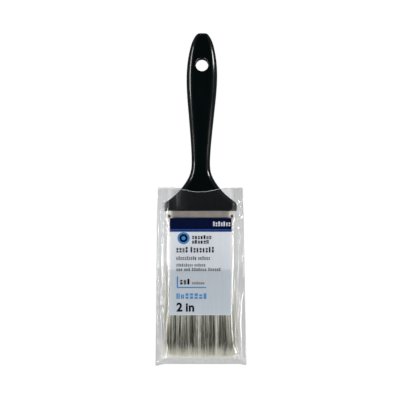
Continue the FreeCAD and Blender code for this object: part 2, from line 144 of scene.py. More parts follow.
def add(tree, kind, inputs=None, **settings):
    """Adds a shader node. inputs holds values, or sockets to link from."""
    made = tree.nodes.new(f"ShaderNode{kind}")
    for name, value in settings.items():
        setattr(made, name, value)
    for name, value in (inputs or {}).items():
        if isinstance(value, bpy.types.NodeSocket):
            tree.links.new(value, made.inputs[name])
        else:
            made.inputs[name].default_value = value
    return made


def new_material(name):
    """A new material's tree, its output's surface socket, and its object coordinates."""
    material = bpy.data.materials.new(name)
    material.use_nodes = True
    tree = material.node_tree
    tree.nodes.clear()
    output = tree.nodes.new("ShaderNodeOutputMaterial")
    place = add(tree, "TexCoord").outputs["Object"]
    return material, tree, output.inputs["Surface"], place


def stretched_noise(tree, place, scale, detail=3.0, roughness=0.5):
    """Noise with its own scale along each axis, in features per metre."""
    mapped = add(tree, "Mapping", {"Vector": place, "Scale": scale}).outputs["Vector"]
    return add(
        tree, "TexNoise",
        {"Vector": mapped, "Scale": 1.0, "Detail": detail, "Roughness": roughness},
    ).outputs["Fac"]


def ramp(tree, value, stops):
    """A colour ramp through (position, colour) stops."""
    made = add(tree, "ValToRGB", {"Fac": value})
    elements = made.color_ramp.elements
    while len(elements) < len(stops):
        elements.new(0.5)
    for element, (position, colour) in zip(elements, stops):
        element.position = position
        element.color = (*colour, 1.0)
    return made.outputs["Color"]


def between(tree, value, low, high, start=0.0, end=1.0):
    """Maps what lies between start and end to the range from low to high."""
    return add(tree, "MapRange", {
        "Value": value, "From Min": start, "From Max": end, "To Min": low, "To Max": high,
    }).outputs["Result"]


def maths(tree, operation, *values):
    """One Math node's result."""
    return add(tree, "Math", dict(enumerate(values)), operation=operation).outputs["Value"]


def mixed(tree, share, first, second):
    """Two shaders mixed: share is how much of the second shows."""
    return add(tree, "MixShader", {0: share, 1: first, 2: second}).outputs["Shader"]


def attribute(tree, name):
    """A value that the piece's points carry."""
    return add(tree, "Attribute", attribute_name=name).outputs["Fac"]


def coordinate(tree, place, axis):
    return add(tree, "SeparateXYZ", {"Vector": place}).outputs[axis]


def bump(tree, height, strength, distance):
    return add(
        tree, "Bump", {"Height": height, "Strength": strength, "Distance": distance}
    ).outputs["Normal"]


def principled(tree, surface, inputs):
    """A Principled shader as the whole of a material."""
    tree.links.new(add(tree, "BsdfPrincipled", inputs).outputs["BSDF"], surface)


def thin_mirror(tree, face_on):
    """How much a thin clear sheet reflects, the same from either side of its surface."""
    facing = add(tree, "LayerWeight", {"Blend": 0.5}).outputs["Facing"]
    return between(tree, maths(tree, "POWER", facing, 5.0), face_on, 0.9)


def handle_plastic():
    """Gloss black plastic with a faint haze and the slight waviness of a moulding."""
    material, tree, surface, place = new_material("handle_plastic")
    peel = stretched_noise(tree, place, (420, 420, 420), 2.0)
    haze = stretched_noise(tree, place, (90, 40, 90), 4.0)
    principled(tree, surface, {
        "Base Color": ramp(tree, haze, [
            (0.3, (0.0005, 0.0018, 0.0020)), (0.75, (0.0011, 0.0028, 0.0030))]),
        "Roughness": between(tree, haze, 0.10, 0.18),
        "IOR": 1.46,
        "Normal": bump(tree, peel, 0.02, 0.00005),
    })
    return material


# How far inside the ferrule's ends its painted reflection begins and is full, and how full that is: a
# white diffuse share standing in for the bright surroundings mirrored there.
PAINTED_REFLECTION_START, PAINTED_REFLECTION_FULL, PAINTED_REFLECTION_SHARE = 0.0022, 0.0010, 0.6


def ferrule_metal():
    """Rolled tin plate with a painted reflection round its narrow ends: a white diffuse share mixed in
    there stands for the white of the table mirrored in them.
    """
    material, tree, surface, place = new_material("ferrule_metal")
    rolled = stretched_noise(tree, place, (120, 9000, 9000), 3.0)
    stain = stretched_noise(tree, place, (130, 90, 130), 5.0, 0.6)
    metal = add(tree, "BsdfPrincipled", {
        "Base Color": ramp(tree, stain, [(0.3, (0.42, 0.377, 0.338)), (0.7, (0.535, 0.486, 0.436))]),
        "Metallic": 1.0,
        "Roughness": between(tree, rolled, 0.46, 0.62),
        "Normal": bump(tree, rolled, 0.12, 0.00003),
    }).outputs["BSDF"]
    # Painted reflection: white diffuse that is mixed in by place, near the narrow ends.
    painted_reflection = add(tree, "BsdfDiffuse", {
        "Color": ramp(tree, stain, [(0.3, (0.80, 0.79, 0.77)), (0.7, (0.88, 0.87, 0.85))]),
    }).outputs["BSDF"]
    away = maths(tree, "ABSOLUTE", coordinate(tree, place, "X"))
    end = FERRULE_HIGH.x
    share = between(tree, away, 0.0, PAINTED_REFLECTION_SHARE, end - PAINTED_REFLECTION_START, end - PAINTED_REFLECTION_FULL)
    tree.links.new(mixed(tree, share, metal, painted_reflection), surface)
    return material


def nail_metal():
    """Steel, coloured near black."""
    material, tree, surface, place = new_material("nail_metal")
    grit = stretched_noise(tree, place, (2500, 2500, 2500), 4.0)
    principled(tree, surface, {
        "Base Color": ramp(tree, grit, [(0.3, (0.004, 0.004, 0.004)), (0.7, (0.014, 0.013, 0.012))]),
        "Roughness": between(tree, grit, 0.35, 0.6),
        "Normal": bump(tree, grit, 0.3, 0.00005),
    })
    return material


def setting_epoxy():
    """Amber setting resin, clouded and slightly uneven."""
    material, tree, surface, place = new_material("setting_epoxy")
    cloud = stretched_noise(tree, place, (260, 260, 260), 5.0)
    principled(tree, surface, {
        "Base Color": ramp(tree, cloud, [(0.25, (0.30, 0.18, 0.06)), (0.8, (0.55, 0.38, 0.16))]),
        "Roughness": between(tree, cloud, 0.25, 0.45),
        "Normal": bump(tree, cloud, 0.2, 0.0002),
    })
    return material


def spacer_board():
    """Pale fibre board."""
    material, tree, surface, place = new_material("spacer_board")
    fibre = stretched_noise(tree, place, (400, 3500, 3500), 5.0, 0.65)
    principled(tree, surface, {
        "Base Color": ramp(tree, fibre, [(0.3, (0.40, 0.31, 0.20)), (0.7, (0.62, 0.52, 0.37))]),
        "Roughness": 0.85,
        "Normal": bump(tree, fibre, 0.5, 0.0001),
    })
    return material


# Half the length, in metres, over which a filament's dye fades out.
DYE_FADE = 0.0027
# Painted glow: how strongly pale strands and undyed tips emit light of their own colour, standing in
# for the light table under the brush shining through them.
PALE_PAINTED_GLOW, TIP_PAINTED_GLOW = 0.12, 0.06


def filament_material():
    """Dyed filaments, each with a tone of its own, that turn cream below the end of their dye. Pale
    strands and the cream tips carry a painted glow.
    """
    material, tree, surface, place = new_material("filaments")
    tone = attribute(tree, "tone")
    dyed = ramp(tree, tone, [
        (0.00, (0.012, 0.012, 0.005)), (0.26, (0.070, 0.069, 0.038)),
        (0.50, (0.198, 0.193, 0.131)), (0.74, (0.470, 0.458, 0.360)),
        (1.00, (0.820, 0.805, 0.720)),
    ])
    tips = ramp(tree, tone, [(0.0, (0.80, 0.78, 0.62)), (0.6, (0.92, 0.905, 0.82))])
    past = maths(tree, "SUBTRACT", coordinate(tree, place, "Y"), attribute(tree, "dye_end"))
    share = between(tree, past, 0.0, 1.0, -DYE_FADE, DYE_FADE)
    colour = add(tree, "Mix", data_type="RGBA")
    tree.links.new(share, colour.inputs[0])
    tree.links.new(tips, colour.inputs[6])
    tree.links.new(dyed, colour.inputs[7])
    # Painted glow: the emission strength rises for pale strands and for undyed tips.
    pale = between(tree, tone, 0.0, PALE_PAINTED_GLOW, 0.75, 1.05)
    tip_painted_glow = between(tree, share, TIP_PAINTED_GLOW, 0.0)
    principled(tree, surface, {
        "Base Color": colour.outputs[2],
        "Roughness": 0.42,
        "Specular IOR Level": 0.45,
        "Emission Color": colour.outputs[2],
        "Emission Strength": maths(tree, "ADD", pale, tip_painted_glow),
    })
    return material


# How much of the film scatters light where it is clouded beyond 1, as at the handle's left corner.
FROST = 0.30
# How much the film reflects where it is seen face on.
FILM_MIRROR = 0.03


def clear_film():
    """Thin clear film: it dims and hazes what is behind it, most where it is clouded, and shines. Its
    clouding also carries painted shade in the sides and a painted glare over the handle.
    """
    material, tree, surface, place = new_material("clear_film")
    streak = stretched_noise(tree, place, (700, 30, 300), 4.0, 0.6)
    # The clouding value read here carries painted shade and a painted glare as well as real clouding.
    stirred = maths(tree, "ADD", between(tree, streak, -0.22, 0.22), attribute(tree, "cloud"))
    through = add(tree, "BsdfTransparent", {
        "Color": ramp(tree, stirred, [(0.0, (0.955, 0.960, 0.966)), (1.0, (0.846, 0.847, 0.845))]),
    }).outputs["BSDF"]
    haze = add(tree, "BsdfDiffuse", {"Color": (0.80, 0.82, 0.84, 1)}).outputs["BSDF"]
    shine = add(tree, "BsdfGlossy", {
        "Color": (1, 1, 1, 1), "Roughness": 0.12,
        "Normal": bump(tree, streak, 0.10, 0.0001),
    }).outputs["BSDF"]
    frost = between(tree, stirred, 0.0, FROST, 1.0, 2.0)
    share = maths(tree, "ADD", between(tree, stirred, 0.003, 0.012), frost)
    milky = mixed(tree, share, through, haze)
    tree.links.new(mixed(tree, thin_mirror(tree, FILM_MIRROR), milky, shine), surface)
    return material


def frosted_edge():
    """The film's cut and sealed edges, thicker and whiter than the sheet."""
    material, tree, surface, place = new_material("frosted_edge")
    uneven = stretched_noise(tree, place, (500, 160, 500), 4.0, 0.6)
    principled(tree, surface, {
        "Base Color": ramp(tree, uneven, [(0.3, (0.70, 0.72, 0.74)), (0.7, (0.90, 0.91, 0.92))]),
        "Roughness": between(tree, uneven, 0.2, 0.4),
        "Alpha": between(tree, uneven, 0.35, 0.95),
        "Normal": bump(tree, uneven, 0.4, 0.0001),
    })
    return material


def panel_ink():
    """White ink on the film, painted paler over the ferrule than over the filaments: painted light and
    shade for what shows through it.
    """
    material, tree, surface, place = new_material("panel_print")
    mottle = stretched_noise(tree, place, (700, 40, 300), 4.0, 0.6)
    # Painted light and shade: the tint follows what lies behind the panel.
    stirred = maths(tree, "ADD", between(tree, mottle, -0.10, 0.10), attribute(tree, "painted_show_through"))
    tint = ramp(tree, stirred, [(0.0, (0.655, 0.705, 0.755)), (1.0, (0.878, 0.905, 0.945))])
    front = add(tree, "BsdfDiffuse", {"Color": tint}).outputs["BSDF"]
    passed = add(tree, "BsdfTranslucent", {"Color": tint}).outputs["BSDF"]
    white = mixed(tree, 0.50, front, passed)
    shine = add(tree, "BsdfGlossy", {"Color": (1, 1, 1, 1), "Roughness": 0.25}).outputs["BSDF"]
    glazed = mixed(tree, thin_mirror(tree, FILM_MIRROR), white, shine)
    through = add(tree, "BsdfTransparent", {"Color": (0.96, 0.96, 0.96, 1)}).outputs["BSDF"]
    cover = between(tree, mottle, 0.88, 0.95)
    tree.links.new(mixed(tree, cover, through, glazed), surface)
    return material


def ink(name, low, high):
    """A solid printing ink whose tone varies slightly between two colours."""
    material, tree, surface, place = new_material(name)
    mottle = stretched_noise(tree, place, (900, 200, 400), 4.0, 0.6)
    principled(tree, surface, {
        "Base Color": ramp(tree, mottle, [(0.3, low), (0.7, high)]),
        "Roughness": between(tree, mottle, 0.14, 0.22),
        "Specular IOR Level": 0.2,
    })
    return material


# Handle ---------------------------------------------------------------

HANDLE_LOW, HANDLE_HIGH = drawing_box("handle")
HOLE = next(m for m in frame["record"]["mounts"] if m["name"] == "hanging_hole")
HOLE_RADIUS = HOLE["dims"]["r_mm"]
HOLE_ACROSS = HOLE["pos_m"][0] / MM
HOLE_HEIGHT = (HOLE["pos_m"][1] - SHOULDER_LINE) / MM
HOLE_ROUNDING = 1.05
EDGE_ROUNDING = 0.6
# The share of the grip's half-depth that is the crown of its front and back faces.
CROWN = 0.17
# The CAD outline is faceted. It is sampled at small steps, and blurred broadly along the grip but
# closely by the shoulder and the tip, where it bends sharply.
OUTLINE_STEP, CLOSE_BLUR, BROAD_BLUR = 0.25, 0.6, 2.2
# How far past the hole's edge the outline's depth is bridged, and how far out the bridge reads it.
BRIDGE, BRIDGE_REACH = 2, 9
# Steps round a ring: along a flat face, round a corner and down a side. The square patch that is
# left open round the hole reaches some steps into the corners, and so many radii up and down.
FLAT_STEPS, CORNER_STEPS, SIDE_STEPS = 24, 12, 3
BACK_START = FLAT_STEPS + 2 * CORNER_STEPS + SIDE_STEPS
PATCH_LEFT, PATCH_RIGHT = -4, FLAT_STEPS + 4
PATCH_ROWS, PATCH_REACH = 17, 1.75 * HOLE_RADIUS


def measured_outline(name, heights):
    """Middle, half-width and half-depth of a CAD node at each height, where its edges cross it."""
    mesh = frame["nodes"][name].data
    corners = np.array([v.co for v in mesh.vertices]) - (0, SHOULDER_LINE, MIDDLE_PLANE)
    corners /= MM
    edges = np.array([e.vertices[:] for e in mesh.edges])
    start, end = corners[edges[:, 0]], corners[edges[:, 1]]
    found = []
    for height in heights:
        crossing = (start[:, 1] - height) * (end[:, 1] - height) < 0
        a, b = start[crossing], end[crossing]
        share = ((height - a[:, 1]) / (b[:, 1] - a[:, 1]))[:, None]
        met = a + share * (b - a)
        left, right = met[:, 0].min(), met[:, 0].max()
        found.append(((left + right) / 2, (right - left) / 2, np.abs(met[:, 2]).max()))
    return np.array(found)


def blurred(values, spread):
    """Values smoothed over a spread of so many steps, with both ends carried on."""
    reach = int(4 * spread)
    weights = np.exp(-0.5 * (np.arange(-reach, reach + 1) / spread) ** 2)
    padded = np.concatenate([
        np.full(reach, values[0]), values, 2 * values[-1] - values[-2:-reach - 2:-1]])
    return np.convolve(padded, weights / weights.sum(), "valid")


class HandleShape:
    """The handle's section at any height above the shoulder line."""

    def __init__(self):
        self.heights = np.append(
            np.arange(HANDLE_LOW.y + 0.1, HANDLE_HIGH.y - 0.3, OUTLINE_STEP),
            HANDLE_HIGH.y - np.array([0.27, 0.18, 0.1, 0.05, 0.02]))
        outline = measured_outline("handle", self.heights)
        past_hole = np.abs(self.heights - HOLE_HEIGHT) - HOLE_RADIUS
        bored = past_hole < BRIDGE
        beside = ~bored & (past_hole < BRIDGE_REACH)
        crest = np.polyfit(self.heights[beside] - HOLE_HEIGHT, outline[beside, 2], 3)
        outline[bored, 2] = np.polyval(crest, self.heights[bored] - HOLE_HEIGHT)
        grip = self.heights > 0
        height, tip = self.heights[grip], HANDLE_HIGH.y
        even = smoothstep(8, 14, height) * smoothstep(tip - 9, tip - 15, height)
        keep = smoothstep(tip - 3, tip - 1, height)
        for side in range(3):
            values = outline[grip, side]
            close = blurred(values, CLOSE_BLUR / OUTLINE_STEP)
            broad = blurred(values, BROAD_BLUR / OUTLINE_STEP)
            smoothed = close * (1 - even) + broad * even
            outline[grip, side] = smoothed * (1 - keep) + values * keep
        self.outline = outline
        self.tang_top = self.heights[~grip].max()
        self.shoulder_low = self.heights[grip].min()

    def at(self, height):
        """Middle, half-width, half-depth at the corners, corner radius, and the faces' crown."""
        on_grip = np.maximum(height, self.shoulder_low)
        on_tang = np.minimum(height, self.tang_top)
        height = np.where(np.asarray(height) > 0, on_grip, on_tang)
        middle = np.interp(height, self.heights, self.outline[:, 0])
        width = np.interp(height, self.heights, self.outline[:, 1])
        depth = np.interp(height, self.heights, self.outline[:, 2])
        rounded = smoothstep(4, 24, height)
        crown = depth * CROWN * rounded
        base = depth - crown
        corner = np.minimum(base * (0.88 + 0.04 * rounded), width * 0.8)
        return middle, width, base, corner, crown

    def top(self, x, height):
        """Height of the front face above the middle plane at one point, or at arrays of them."""
        middle, width, base, corner, crown = self.at(height)
        out = np.abs(x - middle)
        past = np.clip(out - (width - corner), 0, corner)
        level = base - corner + np.sqrt(np.maximum(corner**2 - past**2, 0))
        return level * (1 + crown / base * (1 - (out / width) ** 2))

    def ring(self, height, inset=0.0):
        """Points round the section, from the front face's left end, clockwise seen from the tip.

        The section's second half is its first half turned half round.
        """
        middle, width, base, corner, crown = self.at(height)
        width, base, corner = width - inset, base - inset, corner - inset
        flat, side = width - corner, base - corner
        quarter = np.linspace(math.pi / 2, 0, CORNER_STEPS + 1)[:-1]
        half_x = [
            np.linspace(-flat, flat, FLAT_STEPS + 1)[:-1], flat + corner * np.cos(quarter),
            np.full(SIDE_STEPS, width), flat + corner * np.sin(quarter)]
        half_z = [
            np.full(FLAT_STEPS, base), side + corner * np.sin(quarter),
            np.linspace(side, -side, SIDE_STEPS + 1)[:-1], -side - corner * np.cos(quarter)]
        x, z = np.concatenate(half_x), np.concatenate(half_z)
        x, z = np.append(x, -x), np.append(z, -z)
        z = z * (1 + crown / base * (1 - (x / width) ** 2))
        return np.stack([middle + x, np.full(len(x), float(height)), z], 1)


def handle_levels():
    """Every ring's height and inset, from the tang to the tip, and the open patch's end rows."""
    tang = [(HANDLE_LOW.y + 0.15, 0.5), (HANDLE_LOW.y + 0.6, 0.0), (-0.05, 0.0)]
    shoulder = [
        (0.02 + EDGE_ROUNDING * (1 - math.cos(turn)), EDGE_ROUNDING * (1 - math.sin(turn)))
        for turn in np.linspace(0, math.pi / 2, 5)]
    patch = np.linspace(HOLE_HEIGHT - PATCH_REACH, HOLE_HEIGHT + PATCH_REACH, PATCH_ROWS)
    below = np.concatenate([np.arange(1.2, 32, 0.7), np.arange(32.4, patch[0] - 0.8, 1.3)])
    turns = np.linspace(0, math.pi / 2, 20)[1:-1]
    nose = patch[-1] + (HANDLE_HIGH.y - patch[-1]) * np.sin(turns)
    heights = np.concatenate([below, patch, nose, [HANDLE_HIGH.y - 0.03]])
    levels = tang + shoulder + [(height, 0.0) for height in heights]
    first_row = len(tang) + len(shoulder) + len(below)
    return levels, first_row, first_row + PATCH_ROWS - 1


def skin_faces(rings, around, first_row, last_row):
    """Quads between the rings, apart from the open patches, and a cap at each end."""
    columns = range(PATCH_LEFT, PATCH_RIGHT)
    open_cells = {(start + c) % around for start in (0, BACK_START) for c in columns}
    faces = []
    for i in range(rings - 1):
        for j in range(around):
            if first_row <= i < last_row and j in open_cells:
                continue
            k = (j + 1) % around
            faces.append((i * around + j, i * around + k, (i + 1) * around + k, (i + 1) * around + j))
    faces.append(list(range(around)))
    faces.append(list(range((rings - 1) * around, rings * around)))
    return faces


def patch_rims(around, first_row, last_row):
    """The points round the open patch in the front face, and those that face them in the back."""
    rim = [(first_row, c) for c in range(PATCH_LEFT, PATCH_RIGHT)]
    rim += [(r, PATCH_RIGHT) for r in range(first_row, last_row)]
    rim += [(last_row, c) for c in range(PATCH_RIGHT, PATCH_LEFT, -1)]
    rim += [(r, PATCH_LEFT) for r in range(last_row, first_row, -1)]
    front = [r * around + c % around for r, c in rim]
    back = [r * around + (BACK_START + FLAT_STEPS - c) % around for r, c in rim]
    return front, back


def hole_loops(shape, border):
    """Loops of points from the patch's rim to the hole, and down its wall to the middle plane."""
    centre = np.array([HOLE_ACROSS, HOLE_HEIGHT])
    rim = border[:, :2]
    spoke = (rim - centre) / np.linalg.norm(rim - centre, axis=1)[:, None]
    edge = centre + spoke * (HOLE_RADIUS + HOLE_ROUNDING)
    loops = []
    for share in np.linspace(0, 1, 8)[1:]:
        flat = rim * (1 - share) + edge * share
        loops.append((flat, shape.top(flat[:, 0], flat[:, 1])))
    crest = loops[-1][1]
    for turn in np.linspace(0, math.pi / 2, 8)[1:]:
        flat = edge - spoke * HOLE_ROUNDING * math.sin(turn)
        loops.append((flat, crest - HOLE_ROUNDING * (1 - math.cos(turn))))
    flat, wall = loops[-1]
    loops += [(flat, wall * share) for share in (0.66, 0.33, 0.0)]
    return [np.column_stack([flat, level]) for flat, level in loops]


def make_handle():
    """One black moulding: rings lofted along the outline, with a rounded hole through it."""
    shape = HandleShape()
    levels, first_row, last_row = handle_levels()
    rings = [shape.ring(height, inset) for height, inset in levels]
    around = len(rings[0])
    points = np.concatenate(rings)
    faces = skin_faces(len(rings), around, first_row, last_row)

    front, back = patch_rims(around, first_row, last_row)
    loops = hole_loops(shape, points[front])
    loops += [loop * (1, 1, -1) for loop in loops[-2::-1]]
    count = len(front)
    starts = [len(points) + i * count for i in range(len(loops))]
    chain = [front] + [range(start, start + count) for start in starts] + [back]
    for here, after in zip(chain, chain[1:]):
        for i in range(count):
            k = (i + 1) % count
            faces.append((here[i], here[k], after[k], after[i]))
    points = np.concatenate([points] + loops)
    piece = new_piece("handle_moulding", points, faces, handle_plastic(), "brush")
    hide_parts("handle")


# Filaments ------------------------------------------------------------

ROOT = drawing_box("epoxy_block")[0].y
BUNDLE_LOW, BUNDLE_HIGH = drawing_box("middle_filaments")
TIPS = BUNDLE_LOW.y
FERRULE_MOUTH = drawing_box("ferrule")[0].y
# The height at which most filaments lose their dye.
DYE_LINE = -104.6
# Narrow streaks of paler filaments: the middle of each, and its half-breadth.
PALE_STREAKS = ((-17.6, 0.45), (-9.0, 0.5), (-0.8, 1.15), (11.9, 0.7), (20.7, 0.4))
TIP_HALF_WIDTH, TIP_HALF_DEPTH = 27.9, 3.1
STOCK_HALF_WIDTH, STOCK_HALF_DEPTH, STOCK_CORNER = 24.7, 6.4, 5.4
SPACER_HALF_DEPTH = 0.95
PER_ROW, CLUMPS = 2500, 70
# How far the tips of each row lean to the front or the back, and where its noise is read.
LEAN = {"front": 1.75, "middle": 0.0, "rear": -1.75}
TONE_OFFSET = {"front": 0.0, "middle": 7.3, "rear": 15.1}
# Places along a filament, from root to tip, and how thick it is there.
STEPS = np.array([0.0, 0.11, 0.24, 0.38, 0.52, 0.64, 0.75, 0.84, 0.91, 0.96, 0.985, 1.0])
TAPER = 1 - 0.78 * smoothstep(0.78, 1.0, STEPS)
TRIANGLE = np.array([(math.cos(turn), 0, math.sin(turn)) for turn in (0.0, 2.0944, 4.1888)])

Clump = namedtuple("Clump", "across depth length tone")


def inside_stock(x, z):
    """True if a point of the ferrule's section lies in the bundle's rounded outline."""
    past_x = max(abs(x) - (STOCK_HALF_WIDTH - STOCK_CORNER), 0)
    past_z = max(abs(z) - (STOCK_HALF_DEPTH - STOCK_CORNER), 0)
    return math.hypot(past_x, past_z) < STOCK_CORNER


def row_limits(row):
    """Lowest and highest place in the ferrule's depth of one row: front, middle or rear."""
    share = (2 * STOCK_HALF_DEPTH - 4 * SPACER_HALF_DEPTH - 0.6) / 3
    gap = 2 * SPACER_HALF_DEPTH + 0.3
    middle = {"front": share + gap, "middle": 0.0, "rear": -share - gap}[row]
    return middle - share / 2, middle + share / 2


def filament_tone(row, clump, tip_x, rng):
    """How pale one filament is: dark and pale strands lie side by side."""
    offset = TONE_OFFSET[row]
    strand = noise.noise(Vector((tip_x / 1.05, offset, 2.0)))
    fine = noise.noise(Vector((tip_x / 0.40, offset, 5.0)))
    tone = 0.355 + 1.15 * strand + 0.85 * fine + 0.05 * clump.tone + rng.gauss(0, 0.18)
    if rng.random() < 0.05:
        tone = rng.uniform(0.8, 1.0)
    for middle, breadth in PALE_STREAKS:
        if abs(tip_x - middle) < breadth and rng.random() < 0.75:
            tone = max(tone, 0) + 0.42
    return tone


def tone_along(x, y):
    """How much paler filaments get at some places: at the bundle's sides, and by the panel."""
    dark_half = np.interp(y, [-102, -80, -70, FERRULE_MOUTH], [25.4, 23.7, 22.8, 22.4])
    pale = 0.75 * smoothstep(dark_half - 0.5, dark_half + 0.5, np.abs(x))
    return pale + 0.20 * smoothstep(-94, -80, y) - 0.06 * smoothstep(-94, -101, y)


def draw_roots(row, rng):
    """Places in the ferrule's section for one row's filaments."""
    low, high = row_limits(row)
    roots = []
    while len(roots) < PER_ROW:
        x = rng.uniform(-STOCK_HALF_WIDTH, STOCK_HALF_WIDTH)
        z = rng.uniform(low, high)
        if inside_stock(x, z):
            roots.append((x, z))
    return roots


def draw_tip(across, depth, lean, clump, rng):
    """Where a filament's tip hangs: drawn towards its clump, and cut at a ragged height."""
    outer = smoothstep(0.8, 1.0, abs(across))
    pull = rng.uniform(0.15, 0.75) * smoothstep(0, 1, 1 - abs(across) * 0.2)
    x = TIP_HALF_WIDTH * (across + (clump.across - across) * pull) + rng.gauss(0, 0.55)
    x = max(-BUNDLE_HIGH.x, min(BUNDLE_HIGH.x, x))
    z = lean + 1.7 * depth + 0.2 * rng.gauss(0, 1) + 0.2 * clump.length
    z = max(-TIP_HALF_DEPTH, min(TIP_HALF_DEPTH, z)) * (1 - 0.5 * outer)
    drop = abs(z) * 0.32 + 0.315 * clump.length + abs(rng.gauss(0, 1.9))
    y = TIPS + max(drop, 0) + 1.6 * smoothstep(0.86, 1.0, abs(across))
    if rng.random() < 0.03:
        y += rng.uniform(1, 6)
    return x, y, z


def filament_path(root, tip, lean, bow):
    """Points down one filament: straight inside the ferrule, then fanning out to its tip."""
    y = ROOT + (tip[1] - ROOT) * STEPS
    free = np.clip((FERRULE_MOUTH - y) / (FERRULE_MOUTH - TIPS), 0, 1)
    spread = 1 - (1 - free) ** 2.2
    ease = 0.5 * smoothstep(0, 1, free) + 0.5 * free
    swing = np.sin(math.pi * free)
    x = root[0] + (tip[0] - root[0]) * spread + bow[0] * swing
    z = root[1] + (tip[2] - root[1]) * ease + (bow[1] + 0.5 * lean * (1 - free)) * swing
    z = z * (1 - 0.3 * smoothstep(24.5, 28, np.abs(x)))
    return np.stack([x, y, z], 1)


def filament_faces(count):
    """Quads down each three-sided filament, and a triangle at each of its ends."""
    faces = []
    for first in range(0, count * 3 * len(STEPS), 3 * len(STEPS)):
        last = first + 3 * (len(STEPS) - 1)
        for a in range(first, last, 3):
            faces += [(a, a + 1, a + 4, a + 3), (a + 1, a + 2, a + 5, a + 4), (a + 2, a, a + 3, a + 5)]
        faces += [(first, first + 2, first + 1), (last, last + 1, last + 2)]
    return faces


def make_filament_row(row, material, rng):
    """One row of tapered filaments, gathered into loose clumps at their tips."""
    low, high = row_limits(row)
    clumps = [
        Clump(rng.uniform(-1, 1), rng.uniform(-1, 1), rng.gauss(0, 1), rng.gauss(0, 1))
        for _ in range(CLUMPS)]
    points, tones, dye_ends = [], [], []
    for x, z in draw_roots(row, rng):
        across = x / STOCK_HALF_WIDTH
        depth = (z - (low + high) / 2) / (high - low)
        clump = min(clumps, key=lambda c: abs(c.across - across) + 0.25 * abs(c.depth - 2 * depth))
        tip = draw_tip(across, depth, LEAN[row], clump, rng)
        bow = rng.gauss(0, 0.60), rng.gauss(0, 0.14)
        radius = rng.uniform(0.12, 0.17) * TAPER
        tone = filament_tone(row, clump, tip[0], rng)
        ragged = 1.4 * clump.length + rng.gauss(0, 1.7) + 2.0 * smoothstep(0.8, 1, abs(across))
        path = filament_path((x, z), tip, LEAN[row], bow)
        points.append((path[:, None] + radius[:, None, None] * TRIANGLE).reshape(-1, 3))
        tones.append(np.repeat(tone + tone_along(path[:, 0], path[:, 1]), 3))
        dye_ends.append(np.full(3 * len(STEPS), SHOULDER_LINE + (DYE_LINE + ragged) * MM))
    faces = filament_faces(PER_ROW)
    piece = new_piece(f"{row}_filament_row", np.concatenate(points), faces, material, "brush")
    store(piece, "tone", np.concatenate(tones))
    store(piece, "dye_end", np.concatenate(dye_ends))
    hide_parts(f"{row}_filaments")


# Film sleeve ----------------------------------------------------------

FILM_LOW, FILM_HIGH = drawing_box("front_film")
FILM_BOTTOM, FILM_MOUTH = FILM_LOW.y, FILM_HIGH.y
FILM_THICKNESS = 0.10
FILM_ROWS, FLAT_HALF_WIDTH = 200, 22.5
SEAL_TOP = FILM_BOTTOM + 2.0
REST_DEPTH = FILM_HIGH.z - 0.12

# Where the sheet turns down at the brush's left and right sides, from the bottom to the mouth.
# The nails push it out a little just below the shoulder.
CREASE_HEIGHTS = (
    FILM_BOTTOM, -113, -108, -100, -90, -83, -77, -70, -40, -9, -6.5, -1.5, 1, FILM_MOUTH)
LEFT_CREASE = (
    -30.5, -28.4, -26.7, -25.9, -25.5, -24.9, -24.0, -23.6, -23.5, -23.5, -24.7, -24.7, -23.6, -23.6)
RIGHT_CREASE = (
    33.4, 30.8, 26.2, 23.9, 22.9, 22.6, 22.5, 22.8, 23.7, 23.7, 24.8, 24.8, 23.8, 23.8)
# How wide the bright facets along the two creases are, from the bottom up, and how steep the
# sheet is on the facets, below them and out on the fins.
FACET_HEIGHTS = (-112, -100, -56, -44, 0)
LEFT_FACET, RIGHT_FACET = (1.0, 1.0, 1.1, 1.7, 1.7), (2.1, 1.3, 1.2, 1.3, 1.3)
FACET_SLOPE, STEEP_SLOPE, FIN_SLOPE = 0.83, 1.40, 0.36

# Folds in the front sheet: a path of (x, y) points, the fold's half-breadth and its height.
FRONT_FOLDS = [
    ([(-28.4, 6), (-28.8, -40), (-28.3, -80), (-29.2, -106)], 0.9, 0.40),
    ([(-31.6, 10), (-31.9, -50), (-32.1, -108)], 0.7, 0.35),
    ([(27.2, 2), (27.3, -30), (27.0, -56), (28.4, -76), (29.0, -100)], 0.9, 0.40),
    ([(31.6, -22), (31.2, -38), (32.6, -48)], 0.9, 0.40),
    ([(32.6, -57), (30.4, -70), (29.8, -84), (30.0, -92), (31.0, -101)], 1.0, 0.47),
    ([(27.3, 3.5), (29.0, 6.5), (32.2, 10)], 0.7, 0.8),
    ([(-22.5, 0.5), (-13, 4.5), (-4, 13)], 1.6, 0.35),
]


def half_widths(y):
    """How far the sleeve's left and right edges lie from the middle."""
    stops = [FILM_BOTTOM, -80, -10, FILM_MOUTH]
    left = np.interp(y, stops, [34.3, 33.8, 33.2, 32.3])
    right = np.interp(y, stops, [34.7, 33.9, 32.7, 31.8])
    return left, right


def top_depth(y):
    """Height of the sheet's flat middle above the middle plane."""
    stops = [FILM_BOTTOM, SEAL_TOP, -112.2, -109, -100, -88, -76, -62]
    depths = [0.16, 0.30, 3.75, 4.5, 5.8, 7.1, REST_DEPTH - 0.2, REST_DEPTH]
    return sum(np.interp(y + shift, stops, depths) for shift in (-0.8, -0.4, 0, 0.4, 0.8)) / 5


def past_crease(x, y):
    """How far outside the sheet's left or right crease a place lies."""
    left_past = np.interp(y, CREASE_HEIGHTS, LEFT_CREASE) - x
    right_past = x - np.interp(y, CREASE_HEIGHTS, RIGHT_CREASE)
    return np.where(x < 0, left_past, right_past)


